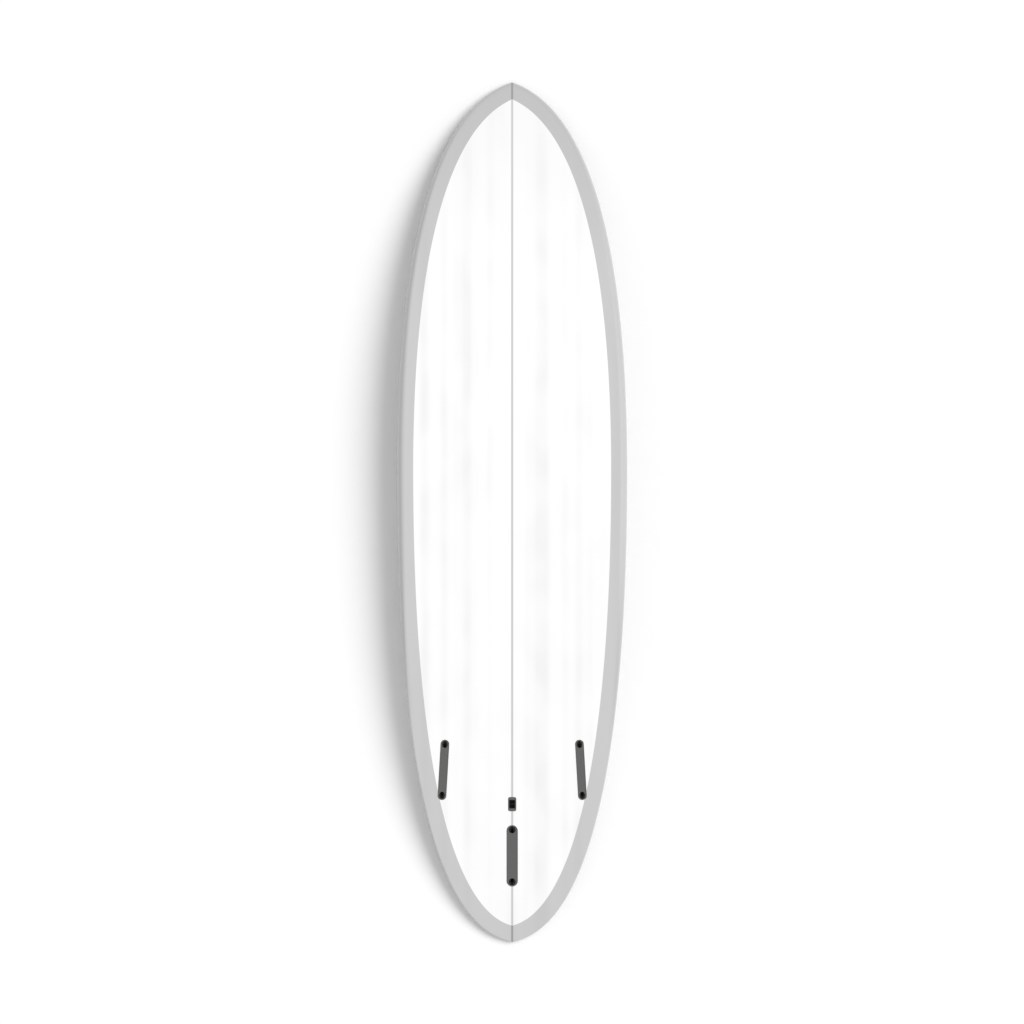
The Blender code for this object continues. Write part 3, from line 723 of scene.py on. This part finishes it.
bore_reach = (SCREW_RADIUS + CLEARANCE) / math.cos(SCREW_TILT)
screw_seats = {}
for side, (_, at) in box_seats.items():
    for end in ENDS:
        well, depth, socket = well_at(side, end)
        width = socket["width"] - 2 * CLEARANCE
        length = socket["length"] - 2 * CLEARANCE
        base = -depth + CLEARANCE
        plug = oval(width, length)
        eased = oval(width - 2 * SOCKET_EDGE, length - 2 * SOCKET_EDGE)
        rings = ((plug, base), (plug, -SOCKET_SINK - SOCKET_EDGE), (eased, -SOCKET_SINK))
        mesh = stack(f"socket_{side}_{end}", *rings)
        mesh.materials.append(black_nylon)
        axis_y = length / 2 - SOCKET_WALL - bore_reach
        slot_low = -socket["length"]
        slot_high = axis_y - bore_reach - CLEARANCE
        half = TAB_WIDTH / 2
        tab = [(-half, slot_low), (half, slot_low), (half, slot_high), (-half, slot_high)]
        slot = stack("slot", (tab, base + SOCKET_FLOOR), (tab, depth))
        lean = Matrix.Translation((0, axis_y, -SOCKET_SINK)) @ Matrix.Rotation(-SCREW_TILT, 4, "X")
        hole = oval(2 * (SCREW_RADIUS + CLEARANCE), 2 * (SCREW_RADIUS + CLEARANCE))
        bore = stack("bore", (hole, -SCREW_SINK - SCREW_LENGTH - SCREW_TRAVEL), (hole, SCREW_LENGTH))
        piece = carve(add_piece(f"socket_{side}_{end}", mesh), (slot, Matrix()), (bore, lean))
        fit(piece, at @ well, "board", f"fin_socket_{side}_{end}")
        screw_seats[side, end] = at @ well @ lean


# Grub screws: six blackened steel screws with a hexagon socket, a thread and a cone point. Each is
# its own body and turns in its bore until the point bears on the fin's tab.

SCREW = {
    "Radius": SCREW_RADIUS,
    "Length": SCREW_LENGTH,
    "Point": 0.001,
    "Chamfer": 0.0003,
    "Thread Depth": 0.00035,
    "Thread Pitch": 0.0007,
    "Hexagon Across Flats": 0.002,
    "Hexagon Depth": 0.0022,
    "Sides": 32,
}
OXIDE_DARK = (0.030, 0.029, 0.028, 1.0)
OXIDE_WORN = (0.070, 0.068, 0.065, 1.0)
WEAR_SCALE = 700.0

dark_steel, place = finish("blackened_steel", {"Roughness": 0.4, "Metallic": 1.0})
wear = place.noise(WEAR_SCALE, detail=4.0, roughness=0.6)
paint(dark_steel, "Base Color", wear.fade(0.35, 0.7).tint(OXIDE_DARK, OXIDE_WORN))
paint(dark_steel, "Roughness", wear.fade(0.35, 0.7, to_low=0.48, to_high=0.34))


def screw_rule():
    """The rule of a grub screw that stands on its point, with its drive end at height zero."""
    tree, size = rule("grub_screw", SCREW, dark_steel)
    start = Wire(tree)
    core = size["Radius"] - size["Thread Depth"]
    shank = size["Length"] - size["Point"] - size["Chamfer"]

    def up(z):
        return start.node("ShaderNodeCombineXYZ", {}, {"Z": z})

    def moved(mesh, z):
        return start.node("GeometryNodeTransform", {}, {"Geometry": mesh, "Translation": up(z)})

    def tapered(mesh, end, height, radius):
        inputs = {"Mesh": mesh, "Selection": end, "Offset Scale": height}
        longer = start.node("GeometryNodeExtrudeMesh", {}, inputs)
        inputs = {"Geometry": longer, "Selection": longer.also("Top"), "Scale": radius / core}
        return start.node("GeometryNodeScaleElements", {}, inputs)

    inputs = {"Vertices": size["Sides"], "Radius": core, "Depth": shank}
    bar = start.node("GeometryNodeMeshCylinder", {}, inputs)
    pointed = tapered(bar, bar.also("Bottom"), size["Point"], core - size["Point"])
    eased = tapered(pointed, bar.also("Top"), size["Chamfer"], core - size["Chamfer"])
    body = moved(eased, 0 - size["Chamfer"] - shank / 2)
    across = size["Hexagon Across Flats"] / (2 * math.cos(math.pi / 6))
    inputs = {"Vertices": 6, "Radius": across, "Depth": size["Hexagon Depth"] * 2}
    hexagon = start.node("GeometryNodeMeshCylinder", {}, inputs)
    settings = {"operation": "DIFFERENCE", "solver": "EXACT"}
    driven = start.node("GeometryNodeMeshBoolean", settings, {"Mesh 1": body, "Mesh 2": hexagon})
    inputs = {
        "Resolution": size["Sides"],
        "Rotations": shank / size["Thread Pitch"] - 1,
        "Start Radius": core,
        "End Radius": core,
        "Height": shank - size["Thread Pitch"],
    }
    helix = start.node("GeometryNodeCurveSpiral", {}, inputs)
    upright = start.node("GeometryNodeSetCurveNormal", {"mode": "Z_UP"}, {"Curve": helix})
    inputs = {"Resolution": 4, "Radius": size["Thread Depth"]}
    ridge = start.node("GeometryNodeCurvePrimitiveCircle", {}, inputs)
    inputs = {"Curve": upright, "Profile Curve": ridge, "Fill Caps": True}
    thread = start.node("GeometryNodeCurveToMesh", {}, inputs)
    thread = moved(thread, 0 - size["Chamfer"] - shank + size["Thread Pitch"] / 2)
    both = start.node("GeometryNodeJoinGeometry", {}, {"Geometry": driven})
    tree.links.new(thread.socket, both.socket.node.inputs[0])
    end_rule(tree, both, size["Finish"])
    return tree


screw_tree = screw_rule()
for (side, end), at in screw_seats.items():
    piece = settle(grow(f"screw_{side}_{end}", screw_tree, {}))
    name = f"fin_screw_{side}_{end}"
    fit(piece, at @ Matrix.Translation((0, 0, -SCREW_SINK)), name, name)


# Tether fitting: a grey nylon frame on the stringer ahead of the centre box, with a black cup
# pressed in it and a steel pin through both, for a cord to loop round.

CUP_WIDTH = 0.0138
CUP_LENGTH = 0.0201
CUP_CORNER = 0.0015
CUP_WALL = 0.0012
FRAME_FLOOR = 0.002
FRAME_EDGE = 0.0005
TETHER_PIN_RADIUS = 0.002
TETHER_PIN_DEPTH = 0.005
TETHER_PIN_GRIP = 0.0015
PIN_EDGE = 0.0003


def box_outline(width, length, corner, inset):
    """A rounded rectangle, moved in from its edge."""
    return rounded(width - 2 * inset, length - 2 * inset, corner - inset)


def across_at(depth):
    """A seat for a pin that lies across the board, under the face."""
    return Matrix.Translation((0, 0, -depth)) @ Matrix.Rotation(math.pi / 2, 4, "Y")


def pin_mesh(name, radius, length, look):
    """A round pin with eased ends."""
    full, eased = oval(2 * radius, 2 * radius), oval(2 * (radius - PIN_EDGE), 2 * (radius - PIN_EDGE))
    reach = length / 2
    rings = ((eased, -reach), (full, PIN_EDGE - reach), (full, reach - PIN_EDGE), (eased, reach))
    made = stack(name, *rings)
    made.materials.append(look)
    return made


def pin_hole(radius, length, depth):
    """The cutter for a pin's hole, at its seat."""
    hole = oval(2 * (radius + CLEARANCE), 2 * (radius + CLEARANCE))
    reach = length / 2 + CLEARANCE
    return stack("pin_hole", (hole, -reach), (hole, reach)), across_at(depth)


def frame_outline(inset):
    """The tether frame's outline, moved in from its edge."""
    return box_outline(TETHER_WIDTH, TETHER_LENGTH, TETHER_CORNER, inset)


def cup_outline(inset):
    """The tether cup's outline, moved in from its edge."""
    return box_outline(CUP_WIDTH, CUP_LENGTH, CUP_CORNER, inset)


tether_pin_length = CUP_WIDTH + 2 * CLEARANCE + 2 * TETHER_PIN_GRIP
cup_bottom = -TETHER_DEPTH + FRAME_FLOOR
mesh = stack(
    "tether_surround",
    (frame_outline(0.0), -TETHER_DEPTH),
    (frame_outline(0.0), -FRAME_EDGE),
    (frame_outline(FRAME_EDGE), 0.0),
)
mesh.materials.append(grey_nylon)
cup_hole = (pocket(cup_outline(-CLEARANCE), -cup_bottom), Matrix())
pin_way = pin_hole(TETHER_PIN_RADIUS, tether_pin_length, TETHER_PIN_DEPTH)
surround = carve(add_piece("tether_surround", mesh), cup_hole, pin_way)
fit(surround, tether_seat, "board", "tether_frame")

mesh = stack(
    "tether_liner",
    (cup_outline(0.0), cup_bottom),
    (cup_outline(0.0), -CLEARANCE),
    (cup_outline(CUP_WALL), -CLEARANCE),
    (cup_outline(CUP_WALL), cup_bottom + CUP_WALL),
)
mesh.materials.append(black_nylon)
pin_way = pin_hole(TETHER_PIN_RADIUS, tether_pin_length, TETHER_PIN_DEPTH)
fit(carve(add_piece("tether_liner", mesh), pin_way), tether_seat, "board", "tether_cup")

mesh = pin_mesh("tether_bar", TETHER_PIN_RADIUS, tether_pin_length, dark_steel)
at = tether_seat @ across_at(TETHER_PIN_DEPTH)
fit(settle(add_piece("tether_bar", mesh)), at, "board", "tether_pin")


# Leash plug: a round black nylon cup set in the deck ahead of the tail, with a bright steel pin
# across its mouth, for the string of a leg rope.

LEASH_WALL = 0.0035
LEASH_FLOOR = 0.0025
LEASH_EDGE = 0.0008
LEASH_PIN_RADIUS = 0.0023
LEASH_PIN_DEPTH = 0.0055
LEASH_PIN_GRIP = 0.0025
STEEL_DARK = (0.52, 0.52, 0.53, 1.0)
STEEL_LIGHT = (0.64, 0.64, 0.65, 1.0)
TURNED_SHAPE = (1500.0, 80.0, 80.0)

bright_steel, place = finish("turned_steel", {"Roughness": 0.32, "Metallic": 1.0})
turned = place.stretched(*TURNED_SHAPE).noise(1.0, detail=2.0)
paint(bright_steel, "Base Color", turned.fade(0.3, 0.7).tint(STEEL_DARK, STEEL_LIGHT))
paint(bright_steel, "Roughness", turned.fade(0.3, 0.7, to_low=0.29, to_high=0.36))


def round_outline(inset):
    """The leash plug's outline, moved in from its edge."""
    return oval(LEASH_WIDTH - 2 * inset, LEASH_WIDTH - 2 * inset)


leash_floor = -LEASH_DEPTH + LEASH_FLOOR
leash_pin_length = LEASH_WIDTH - 2 * LEASH_WALL + 2 * LEASH_PIN_GRIP
mesh = stack(
    "leash_plug",
    (round_outline(0.0), -LEASH_DEPTH),
    (round_outline(0.0), -LEASH_EDGE),
    (round_outline(LEASH_EDGE), 0.0),
    (round_outline(LEASH_WALL - LEASH_EDGE), 0.0),
    (round_outline(LEASH_WALL), -LEASH_EDGE),
    (round_outline(LEASH_WALL), leash_floor),
)
mesh.materials.append(black_nylon)
pin_way = pin_hole(LEASH_PIN_RADIUS, leash_pin_length, LEASH_PIN_DEPTH)
fit(carve(add_piece("leash_plug", mesh), pin_way), leash_seat, "board", "leash_cup")

mesh = pin_mesh("leash_bar", LEASH_PIN_RADIUS, leash_pin_length, bright_steel)
at = leash_seat @ across_at(LEASH_PIN_DEPTH)
fit(settle(add_piece("leash_bar", mesh)), at, "board", "leash_pin")


# Stage: a plain pale floor, a soft key light from the upper right, an even sky and a camera with
# a long lens straight above the board.

FLOOR_HALF = 60.0
FLOOR_TONE = 0.95

floor_mesh = bpy.data.meshes.new("floor")
corners = [(x * FLOOR_HALF, y * FLOOR_HALF, 0) for x, y in ((-1, -1), (1, -1), (1, 1), (-1, 1))]
floor_mesh.from_pydata(corners, [], [(0, 1, 2, 3)])
floor = add_piece("floor", floor_mesh)
dull = {"Roughness": 0.9, "Specular IOR Level": 0.2, "Base Color": grey(FLOOR_TONE)}
pale, place = finish("pale_floor", dull)
floor_mesh.materials.append(pale)

SKY_STRENGTH = 0.61

world = bpy.data.worlds.new("sky")
world.use_nodes = True
sky = world.node_tree.nodes["Background"]
sky.inputs["Color"].default_value = grey(1.0)
sky.inputs["Strength"].default_value = SKY_STRENGTH
bpy.context.scene.world = world

KEY_FROM = Vector((0.62, 0.25, 0.78))
KEY_ENERGY = 1.95
KEY_SPREAD = math.radians(38.0)

key = bpy.data.lights.new("key", "SUN")
key.energy = KEY_ENERGY
key.angle = KEY_SPREAD
key_lamp = bpy.data.objects.new("key", key)
key_lamp.visible_glossy = False
key_lamp.rotation_euler = KEY_FROM.to_track_quat("Z", "Y").to_euler()
bpy.context.scene.collection.objects.link(key_lamp)

FRAME_WIDTH = 2.4148
LENS = 250.0
SENSOR = 36.0
AIM_HEIGHT = 0.06
CAMERA_X = -0.0004
CAMERA_REACH = 200.0

view = bpy.data.cameras.new("camera")
view.lens = LENS
view.sensor_width = SENSOR
view.clip_end = CAMERA_REACH
camera = bpy.data.objects.new("camera", view)
camera.location = (CAMERA_X, 0.0, AIM_HEIGHT + FRAME_WIDTH * LENS / SENSOR)
bpy.context.scene.collection.objects.link(camera)
bpy.context.scene.camera = camera
bpy.context.scene.view_settings.view_transform = "Standard"
